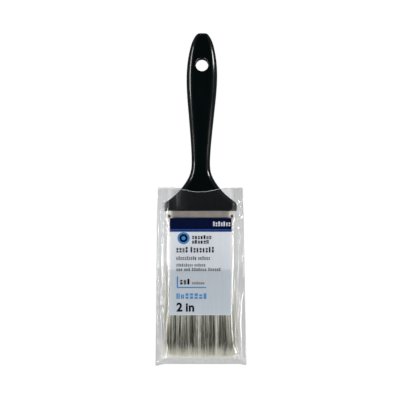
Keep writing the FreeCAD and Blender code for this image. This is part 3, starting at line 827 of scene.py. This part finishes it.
def film_rest(x, y):
    """Height of the smooth sheet over the middle plane.

    It is flat over the brush, with a narrow facet along each crease, a steep side below that, and
    a fin that runs out to the sealed edge.
    """
    left_edge, right_edge = half_widths(y)
    edge = np.where(x < 0, left_edge, right_edge)
    past = past_crease(x, y)
    left_facet = np.interp(y, FACET_HEIGHTS, LEFT_FACET)
    right_facet = np.interp(y, FACET_HEIGHTS, RIGHT_FACET)
    facet = np.where(x < 0, left_facet, right_facet)
    top = top_depth(y)
    shoulder = top - FACET_SLOPE * past
    side = top - FACET_SLOPE * facet - STEEP_SLOPE * (past - facet)
    fin = 0.05 + FIN_SLOPE * np.maximum(edge - np.abs(x), 0)
    turned = soft_least(shoulder, side, 0.12)
    turned = -soft_least(-turned, -fin, 0.3)
    return soft_least(top, turned, 0.10)


def soft_least(a, b, radius):
    """The smaller of two values, rounded where they meet."""
    apart = a - b
    return 0.5 * (a + b - np.sqrt(apart**2 + radius**2))


def clouding_shade_and_glare(x, y):
    """How clouded the film is: little over the brush, more in its crumpled sides and ends. The sides'
    extra dimming is partly painted shade, and the haze band over the handle's left is a painted glare.
    """
    # The side stops are partly real clouding and partly painted shade of the ground under the sleeve.
    stops = [-112, -95, -60, -46, -38, 0, 6, 16]
    left = np.interp(y, stops, [0.75, 0.95, 0.85, 0.80, 0.45, 0.45, 0.52, 0.60])
    right = np.interp(y, stops, [0.82, 0.80, 0.76, 0.84, 0.60, 0.60, 0.70, 0.78])
    middle = np.interp(y, [FILM_BOTTOM, -112, -109, 0, 4, 16], [0.8, 0.75, 0.05, 0.05, 0.12, 0.2])
    # Painted glare: more white haze in a band over the handle's left.
    glare = 0.95 * np.exp(-((x + 17) / 5.0) ** 2) * smoothstep(-2, 3, y)
    frosted = 0.72 * smoothstep(-25.0, -26.2, x) * smoothstep(-29.5, -28.2, x)
    frosted = frosted * smoothstep(-0.5, 0.5, y) * smoothstep(9, 5, y)
    side = np.where(x < 0, left, right)
    share = smoothstep(22.5, 25.0, np.abs(x))
    return middle * (1 - share) + side * share + glare * (1 - share) + frosted


def fold_height(x, y, path, breadth, height):
    """How far one fold stands up: a crest with straight flanks, fading towards both its ends."""
    lengths = [math.dist(a, b) for a, b in zip(path, path[1:])]
    total, run = sum(lengths), 0.0
    nearest, along = np.full(x.shape, 1e9), np.zeros(x.shape)
    for (ax, ay), (bx, by), length in zip(path, path[1:], lengths):
        t = ((x - ax) * (bx - ax) + (y - ay) * (by - ay)) / length**2
        t = np.clip(t, 0, 1)
        away = np.hypot(x - ax - t * (bx - ax), y - ay - t * (by - ay))
        closer = away < nearest
        nearest = np.where(closer, away, nearest)
        along = np.where(closer, (run + t * length) / total, along)
        run += length
    fade = smoothstep(0, 0.12, along) * smoothstep(0, 0.12, 1 - along)
    flank = 1 - nearest / breadth
    return height * fade * 0.5 * (flank + np.sqrt(flank**2 + 0.03))


def random_folds(rng, sides, count, height):
    """Loose lengthwise folds in the sheet's sides, or over its flat middle."""
    found = []
    for _ in range(count):
        if sides:
            x = rng.choice((-1, 1)) * rng.uniform(24.5, 33.5)
            reach = rng.uniform(6, 34)
        else:
            x = rng.uniform(-23, 23)
            reach = rng.uniform(14, 50)
        y = rng.uniform(FILM_BOTTOM + 4, FILM_MOUTH - 4)
        path = [(x, y)]
        for _ in range(3):
            x += rng.gauss(0, 0.9 if sides else 0.35)
            y -= reach / 3
            path.append((x, y))
        found.append((path, rng.uniform(0.4, 0.9), height * rng.uniform(0.3, 1.0)))
    return found


def crinkle(x, y, seed):
    """Fine faceted crinkles, drawn out along the sleeve."""
    found = np.zeros(x.size)
    for i, (px, py) in enumerate(zip(x.ravel(), y.ravel())):
        near = noise.voronoi(Vector((px / 3.4 + seed, py / 15.0, seed)))[0]
        broad = noise.noise(Vector((px / 7.0, py / 26.0, seed + 3.0)))
        found[i] = min(near[1] - near[0], 0.55) * 0.9 + broad * 0.8
    return found.reshape(x.shape)


class FilmSheet:
    """The front (side 1) or back (side -1) sheet of the sleeve, as a height over (x, y)."""

    def __init__(self, side, folds, seed):
        self.side, self.folds, self.seed = side, folds, seed

    def height(self, x, y):
        x, y = np.asarray(x, float), np.asarray(y, float)
        rest = film_rest(x, y)
        left_edge, right_edge = half_widths(y)
        inside = np.minimum(x + left_edge, right_edge - x)
        loose = smoothstep(23.4, 26.5, np.abs(x)) * smoothstep(0, 1.6, inside)
        loose = loose * smoothstep(SEAL_TOP, SEAL_TOP + 4, y)
        loose = loose * (1 - 0.85 * np.exp(-((past_crease(x, y) - 0.7) / 1.1) ** 2))
        over_handle = smoothstep(-4, 2, y) * (1 - loose)
        below_panel = smoothstep(-77, -82, y) * smoothstep(SEAL_TOP, -108, y) * (1 - loose)
        lift = np.zeros(x.shape)
        for path, breadth, height in self.folds:
            lift = lift + fold_height(x, y, path, breadth, height)
        taut = 1 - np.clip(loose + over_handle + below_panel, 0, 1)
        fine = crinkle(x, y, self.seed)
        lift = lift * (1 - 0.85 * taut)
        lift = lift + fine * (0.28 * loose + 0.09 * over_handle + 0.06 * below_panel + 0.01)
        return self.side * (rest + lift)


def mouth_edge(x, side):
    """Where the sheet's mouth lies: the front one dips where it rides over the grip."""
    dip = 2.9 if side > 0 else 0.4
    ragged = 0.10 * np.sin(x * 0.45 + side) + 0.08 * np.sin(x * 1.1)
    return FILM_MOUTH - 0.3 - dip * np.exp(-((x / 13.0) ** 2)) + 0.012 * x * side + ragged


def bottom_edge(x):
    """Where the sealed end lies: both corners hang a little lower than its middle."""
    return FILM_BOTTOM + 0.2 - 1.4 * smoothstep(-27, -34, x) - 0.8 * smoothstep(29, 34, x)


def film_grid(side):
    """The sheet's x and y at each row and column, finest along its loose sides."""
    middle = np.linspace(-1, 1, 56)
    flank = np.linspace(0, 1, 66)[1:]
    across = np.concatenate([-1 - flank[::-1], middle, 1 + flank])
    grid_x, grid_y = np.zeros((2, FILM_ROWS, len(across)))
    for i, share in enumerate(np.linspace(0, 1, FILM_ROWS)):
        left_edge, right_edge = half_widths(FILM_BOTTOM + (FILM_MOUTH - FILM_BOTTOM) * share)
        edge = np.where(across < 0, left_edge, right_edge)
        beyond = np.maximum(np.abs(across) - 1, 0)
        out = np.minimum(np.abs(across), 1) * FLAT_HALF_WIDTH + beyond * (edge - FLAT_HALF_WIDTH)
        x = np.sign(across) * out
        low, high = bottom_edge(x), mouth_edge(x, side)
        grid_x[i] = x
        grid_y[i] = low + (high - low) * share
    return grid_x, grid_y


def make_film(name, side, folds, seed, material, node):
    """One sheet of film as a thin closed surface."""
    grid_x, grid_y = film_grid(side)
    sheet = FilmSheet(side, folds, seed)
    outside = sheet.height(grid_x, grid_y)
    inside = outside - side * np.minimum(FILM_THICKNESS, np.abs(outside) * 0.8)
    top = np.stack([grid_x, grid_y, outside], 2)
    under = np.stack([grid_x, grid_y, inside], 2)
    points, faces = closed_sheet(top, under)
    piece = new_piece(name, points, faces, material, "sleeve")
    # Clouding, with its painted shade and glare, for the film's material to read.
    cloud = clouding_shade_and_glare(grid_x, grid_y).ravel()
    store(piece, "cloud", np.concatenate([cloud, cloud]))
    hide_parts(node)
    return sheet, top


def tube(path, radius, sides=6):
    """Points and faces of a closed tube along a path."""
    path = np.asarray(path, float)
    ahead = np.gradient(path, axis=0)
    ahead /= np.linalg.norm(ahead, axis=1)[:, None]
    level = np.cross(ahead, (0.0, 0.0, 1.0))
    level /= np.linalg.norm(level, axis=1)[:, None]
    upright = np.cross(level, ahead)
    points = []
    for turn in np.linspace(0, 2 * math.pi, sides + 1)[:-1]:
        points.append(path + radius * (math.cos(turn) * level + math.sin(turn) * upright))
    count = len(path)
    faces = [list(range(0, sides * count, count)), list(range(count - 1, sides * count, count))]
    for i in range(sides):
        here, after = i * count, (i + 1) % sides * count
        for j in range(count - 1):
            faces.append((here + j, here + j + 1, after + j + 1, after + j))
    return np.concatenate(points), faces


def make_edges(front, back):
    """The rolled lips of the sleeve's mouth, and its sealed edge round the other three sides."""
    material = frosted_edge()
    seam = np.concatenate([front[::-2, 0], front[0, 1:-1:2], front[::2, -1]])
    seam[:, 2] = 0.0
    for name, path, radius in (
        ("front_mouth_lip", front[-1], 0.11),
        ("back_mouth_lip", back[-1], 0.11),
        ("sealed_edge", seam, 0.13),
    ):
        piece = new_piece(name, *tube(path, radius), material, "sleeve")


# Printed panel --------------------------------------------------------

PANEL_LOW, PANEL_HIGH = drawing_box("printed_panel")
# How far the white ground, the inks and the inks laid over other inks stand above the sheet.
GROUND_LIFT, INK_LIFT, OVER_LIFT = 0.05, 0.10, 0.13
GROUND_THICKNESS, INK_THICKNESS = 0.03, 0.02
# How light the panel's white is painted over the filaments, at the ferrule's mouth, and higher up it:
# painted light and shade for what shows through.
DIM_PAINTED_SHOW_THROUGH, METAL_PAINTED_SHOW_THROUGH, FULL_PAINTED_SHOW_THROUGH = 0.06, 0.74, 1.0
# Where the lines of print start, and where the emblem and the size mark stand.
MARGIN = -18.2
EMBLEM_ACROSS, EMBLEM_HEIGHT = -12.9, -20.4
SIZE_MARK_FOOT, SIZE_MARK_TALL, SIZE_MARK_WEIGHT = -75.4, 8.9, 0.34


def laid_slab(sheet, x, y, lift, thickness):
    """Points and faces of a thin slab over a grid of places on the front sheet."""
    level = sheet.height(x, y) + lift
    return closed_sheet(np.stack([x, y, level + thickness], 2), np.stack([x, y, level], 2))


def laid_patch(sheet, x0, x1, y0, y1, lift, thickness, step):
    """A thin rectangle on the front sheet, in cells about a step wide."""
    columns = max(2, int((x1 - x0) / step) + 2)
    rows = max(2, int((y1 - y0) / (1.6 * step)) + 2)
    x, y = np.meshgrid(np.linspace(x0, x1, columns), np.linspace(y0, y1, rows))
    return laid_slab(sheet, x, y, lift, thickness)


def joined(patches):
    """Several patches as one list of points and one of faces."""
    points, faces = [], []
    for some_points, some_faces in patches:
        faces += [[i + len(points) for i in face] for face in some_faces]
        points += some_points.tolist()
    return np.array(points), faces


def words(rng, x, y, tall, lengths, pitch, weight):
    """Groups of plain blocks in place of a line of words: x0, x1, y0, y1 for each block.

    The line starts at x and stands on y. Each group has as many blocks as lengths says, a pitch
    apart, and each block is about weight times the pitch wide.
    """
    found = []
    for length in lengths:
        for _ in range(length):
            wide = pitch * weight * rng.uniform(0.88, 1.0)
            high = tall * (1.0 if rng.random() < 0.35 else 0.80)
            kind = rng.random()
            if kind < 0.40:
                gap = tall * 0.12
                middle = y + high * rng.uniform(0.42, 0.58)
                found.append((x, x + wide, y, middle - gap / 2))
                found.append((x, x + wide, middle + gap / 2, y + high))
            elif kind < 0.70:
                found.append((x, x + wide * 0.44, y, y + high))
                found.append((x + wide * 0.60, x + wide, y, y + high))
            else:
                found.append((x, x + wide * 0.85, y, y + high))
            x += pitch
        x += pitch * 0.6
    return found


def make_ground(sheet):
    """The panel's white ink, painted lighter over the ferrule and darker below it: painted light and
    shade for what shows through.
    """
    ground = laid_patch(
        sheet, PANEL_LOW.x, PANEL_HIGH.x, PANEL_LOW.y, PANEL_HIGH.y,
        GROUND_LIFT, GROUND_THICKNESS, 0.5)
    panel = new_piece("printed_ground", *ground, panel_ink(), "sleeve")
    # Painted light and shade: each point's value sets how light the ink is painted.
    height = ground[0][:, 1]
    over_ferrule = np.interp(height, [FERRULE_MOUTH, -20], [METAL_PAINTED_SHOW_THROUGH, FULL_PAINTED_SHOW_THROUGH])
    ends = smoothstep(FERRULE_MOUTH - 1.2, FERRULE_MOUTH + 0.4, height)
    store(panel, "painted_show_through", DIM_PAINTED_SHOW_THROUGH + ends * (over_ferrule - DIM_PAINTED_SHOW_THROUGH))
    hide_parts("printed_panel")


def make_print(sheet, rng):
    """What is printed on the ground: a navy band, rules, and plain blocks in place of words."""
    left, right, top = PANEL_LOW.x, PANEL_HIGH.x, PANEL_HIGH.y
    navy = ink("navy_ink", (0.0014, 0.0038, 0.021), (0.0022, 0.0052, 0.027))
    blue = ink("blue_ink", (0.016, 0.052, 0.24), (0.022, 0.064, 0.28))
    dark = ink("dark_ink", (0.003, 0.004, 0.007), (0.007, 0.008, 0.013))
    pale = ink("pale_ink", (0.55, 0.57, 0.60), (0.62, 0.64, 0.67))
    sky = ink("sky_ink", (0.05, 0.17, 0.38), (0.07, 0.21, 0.44))
    warm = ink("warm_ink", (0.10, 0.065, 0.05), (0.13, 0.085, 0.065))

    band = [(left, right, top - 10.2, top)]
    rule = [(left, right, top - 9.3, top - 8.3)]
    code = words(rng, 9.4, top - 6.0, 3.5, [7], 1.95, 0.62)
    name = words(rng, -6.4, -21.1, 2.9, [7], 2.15, 0.77)
    name += words(rng, -6.4, -24.6, 2.9, [6], 2.15, 0.77)
    title = words(rng, MARGIN, -31.2, 4.2, [4, 8], 2.3, 0.66)
    second = words(rng, MARGIN, -36.9, 2.8, [10, 6], 1.55, 0.64)
    notes = words(rng, MARGIN, -41.8, 2.3, [9, 6], 1.42, 0.60)
    notes += words(rng, MARGIN, -45.2, 2.4, [3, 3, 7, 6], 1.62, 0.64)
    bold = words(rng, -15.4, -55.3, 4.3, [3], 2.7, 0.70)
    small = words(rng, -6.4, -55.2, 2.0, [6], 1.6, 0.72)
    grade = words(rng, MARGIN, -66.1, 4.2, [7], 3.4, 0.74)
    bracket = [(-18.0, -17.0, -58.0, -49.2), (-18.0, 4.2, -58.0, -57.1)]

    for label, blocks, colour, lift in (
        ("navy_band", band, navy, INK_LIFT),
        ("blue_rule", rule, blue, OVER_LIFT),
        ("pale_blocks", code, pale, OVER_LIFT),
        ("dark_blocks", name + title + second + notes + bold, dark, INK_LIFT),
        ("warm_blocks", small, warm, INK_LIFT),
        ("blue_bracket", bracket, sky, INK_LIFT),
        ("blue_blocks", grade, sky, INK_LIFT),
    ):
        patches = [laid_patch(sheet, *block, lift, INK_THICKNESS, 1.2) for block in blocks]
        piece = new_piece(label, *joined(patches), colour, "sleeve", smooth=False)
    make_emblem(sheet, sky, navy)
    make_size_mark(sheet, dark)


def ring_patch(sheet, inner, outer, lift):
    """A flat ring round the emblem's centre, laid on the front sheet."""
    turns = np.linspace(0, 2 * math.pi, 49)
    radii = np.linspace(inner, outer, 9)
    x = EMBLEM_ACROSS + np.outer(radii, np.cos(turns))
    y = EMBLEM_HEIGHT + np.outer(radii, np.sin(turns))
    return laid_slab(sheet, x, y, lift, INK_THICKNESS)


def make_emblem(sheet, sky, navy):
    """A plain round emblem: a blue disc, left open at its very centre, with a navy ring on it."""
    disc = ring_patch(sheet, 0.05, 4.6, INK_LIFT)
    ring = ring_patch(sheet, 1.5, 3.1, OVER_LIFT)
    for label, patch, colour in (("emblem_disc", disc, sky), ("emblem_ring", ring, navy)):
        new_piece(label, *patch, colour, "sleeve", smooth=False)


def text_mesh(body, size, weight):
    """A plain word as a thin mesh, cut small enough to follow the film."""
    curve = bpy.data.curves.new("size_mark_text", "FONT")
    curve.body = body
    curve.size = size
    curve.offset = weight
    curve.space_word = 0.75
    curve.space_character = 1.06
    curve.extrude = INK_THICKNESS / 2
    text = bpy.data.objects.new("size_mark_text", curve)
    bpy.context.scene.collection.objects.link(text)
    depsgraph = bpy.context.evaluated_depsgraph_get()
    mesh = bpy.data.meshes.new_from_object(text.evaluated_get(depsgraph))
    bpy.data.objects.remove(text)
    work = bmesh.new()
    work.from_mesh(mesh)
    bmesh.ops.remove_doubles(work, verts=work.verts, dist=1e-4)
    for axis in (Vector((1, 0, 0)), Vector((0, 1, 0))):
        for cut in np.arange(-2.0, size * 3, 0.7):
            every = work.verts[:] + work.edges[:] + work.faces[:]
            bmesh.ops.bisect_plane(work, geom=every, plane_co=axis * cut, plane_no=axis)
    points = np.array([v.co[:] for v in work.verts])
    work.verts.index_update()
    faces = [[v.index for v in face.verts] for face in work.faces]
    work.free()
    return points, faces


def make_size_mark(sheet, colour):
    """The brush's size, in plain figures."""
    points, faces = text_mesh("2 in", SIZE_MARK_TALL, SIZE_MARK_WEIGHT)
    points[:, 0] += MARGIN
    points[:, 1] += SIZE_MARK_FOOT
    points[:, 2] += sheet.height(points[:, 0], points[:, 1]) + INK_LIFT
    new_piece("size_mark", points, faces, colour, "sleeve", smooth=False)


# Studio ---------------------------------------------------------------

FLOOR_GLOW = 0.98
FLOOR_REACH, FLOOR_GAP = 3.0, 0.0003


def make_floor():
    """A white light table: it glows evenly, so the brush stands on clean white without shadows."""
    material, tree, surface, place = new_material("floor_white")
    paper = stretched_noise(tree, place, (8, 8, 8), 3.0)
    sheet = add(tree, "BsdfDiffuse", {
        "Color": ramp(tree, paper, [(0.0, (0.05, 0.05, 0.05)), (1.0, (0.06, 0.06, 0.06))])})
    glow = add(tree, "Emission", {"Color": (1, 1, 1, 1), "Strength": FLOOR_GLOW})
    both = add(tree, "AddShader", {0: sheet.outputs["BSDF"], 1: glow.outputs["Emission"]})
    tree.links.new(both.outputs["Shader"], surface)
    mesh = bpy.data.meshes.new("floor")
    corners = [(x * FLOOR_REACH, y * FLOOR_REACH, 0) for x, y in ((-1, -1), (1, -1), (1, 1), (-1, 1))]
    mesh.from_pydata(corners, [], [(0, 1, 2, 3)])
    mesh.materials.append(material)
    floor = bpy.data.objects.new("floor", mesh)
    floor.location.z = CAD_LOW.z - FLOOR_GAP
    floor.visible_glossy = False
    bpy.context.scene.collection.objects.link(floor)


def make_room():
    """A pale room, dark overhead so that glossy faces seen from above stay black."""
    world = bpy.data.worlds.new("studio")
    world.use_nodes = True
    tree = world.node_tree
    tree.nodes.clear()
    direction = add(tree, "TexCoord").outputs["Generated"]
    rise = maths(tree, "ABSOLUTE", coordinate(tree, direction, "Z"))
    level = ramp(tree, rise, [
        (0.0, (0.20, 0.205, 0.21)), (0.35, (0.14, 0.143, 0.146)),
        (0.75, (0.035, 0.038, 0.040)), (1.0, (0.020, 0.024, 0.026)),
    ])
    light = add(tree, "Background", {"Color": level}).outputs["Background"]
    wall = add(tree, "Background", {"Color": (0.92, 0.92, 0.92, 1)}).outputs["Background"]
    seen = add(tree, "LightPath").outputs["Is Camera Ray"]
    output = tree.nodes.new("ShaderNodeOutputWorld")
    tree.links.new(mixed(tree, seen, light, wall), output.inputs["Surface"])
    bpy.context.scene.world = world


# Soft boxes: a name, a place, the point that it faces, the size of its face and its brightness.
# The low strips shine on the handle's edges, the film's facets and its folds.
GRIP, SLEEVE, CORNER = (0, 0.08, 0.008), (0, -0.06, 0.008), (0.03, -0.11, 0.008)
BRUSH = (0, -0.03, 0)
LIGHTS = (
    ("near_right_box", (0.61, -0.62, 0.85), BRUSH, (0.42, 0.42), 15),
    ("near_left_box", (-0.52, -0.70, 0.85), BRUSH, (0.42, 0.42), 15),
    ("left_strip", (-0.80, 0.26, 0.16), GRIP, (0.42, 0.13), 15.5),
    ("right_strip", (0.80, 0.26, 0.20), GRIP, (0.42, 0.10), 0.8),
    ("low_left_strip", (-0.80, -0.24, 0.17), SLEEVE, (0.42, 0.24), 14),
    ("low_right_strip", (0.80, -0.24, 0.17), SLEEVE, (0.42, 0.24), 13),
    ("corner_strip", (1.40, 0.50, 0.19), CORNER, (0.26, 0.34), 24),
)


def area_light(name, place, aim, size, radiance):
    """A soft box, facing a point, with the brightness of its face."""
    data = bpy.data.lights.new(name, "AREA")
    data.shape = "RECTANGLE"
    data.size, data.size_y = size
    data.energy = radiance * math.pi * size[0] * size[1]
    light = bpy.data.objects.new(name, data)
    light.location = place
    direction = Vector(aim) - Vector(place)
    light.rotation_euler = direction.to_track_quat("-Z", "Y").to_euler()
    bpy.context.scene.collection.objects.link(light)


def make_studio():
    """The room and its soft boxes."""
    bpy.context.scene.view_settings.view_transform = "Standard"
    make_room()
    for light in LIGHTS:
        area_light(*light)


CAMERA_HEIGHT = 1.1
VIEW_WIDTH = 0.3032
SENSOR = 36.0
# Where the middle of the view lies, from the middle of the shoulder's line.
VIEW_ACROSS, VIEW_UP = -0.0005, 0.0083


def make_camera():
    """A camera straight above the brush, with the handle's end towards the top."""
    data = bpy.data.cameras.new("camera")
    data.sensor_width = SENSOR
    data.lens = SENSOR * CAMERA_HEIGHT / VIEW_WIDTH
    camera = bpy.data.objects.new("camera", data)
    camera.location = (VIEW_ACROSS, SHOULDER_LINE + VIEW_UP, MIDDLE_PLANE + CAMERA_HEIGHT)
    bpy.context.scene.collection.objects.link(camera)
    bpy.context.scene.camera = camera


# The whole brush ------------------------------------------------------


def repaint(name, material):
    """Gives a CAD node its material, and leaves its shape alone."""
    data = frame["nodes"][name].data
    data.materials.clear()
    data.materials.append(material)


def make_sleeve(rng):
    """The front and back sheets, their edges, and the panel on the front one."""
    film = clear_film()
    front_folds = FRONT_FOLDS + random_folds(rng, sides=True, count=46, height=0.6)
    front_folds += random_folds(rng, sides=False, count=16, height=0.09)
    back_folds = random_folds(rng, sides=True, count=40, height=0.5)
    front, front_grid = make_film("front_sheet", 1, front_folds, 5.0, film, "front_film")
    _, back_grid = make_film("back_sheet", -1, back_folds, 9.0, film, "back_film")
    make_edges(front_grid, back_grid)
    make_ground(front)
    make_print(front, rng)


SEED = 11


def main():
    make_studio()
    make_camera()
    make_floor()
    repaint("ferrule", ferrule_metal())
    repaint("ferrule_nails", nail_metal())
    repaint("epoxy_block", setting_epoxy())
    board = spacer_board()
    repaint("front_spacer", board)
    repaint("rear_spacer", board)
    make_handle()
    rng = random.Random(SEED)
    bristle = filament_material()
    for row in ("front", "middle", "rear"):
        make_filament_row(row, bristle, rng)
    make_sleeve(rng)


main()
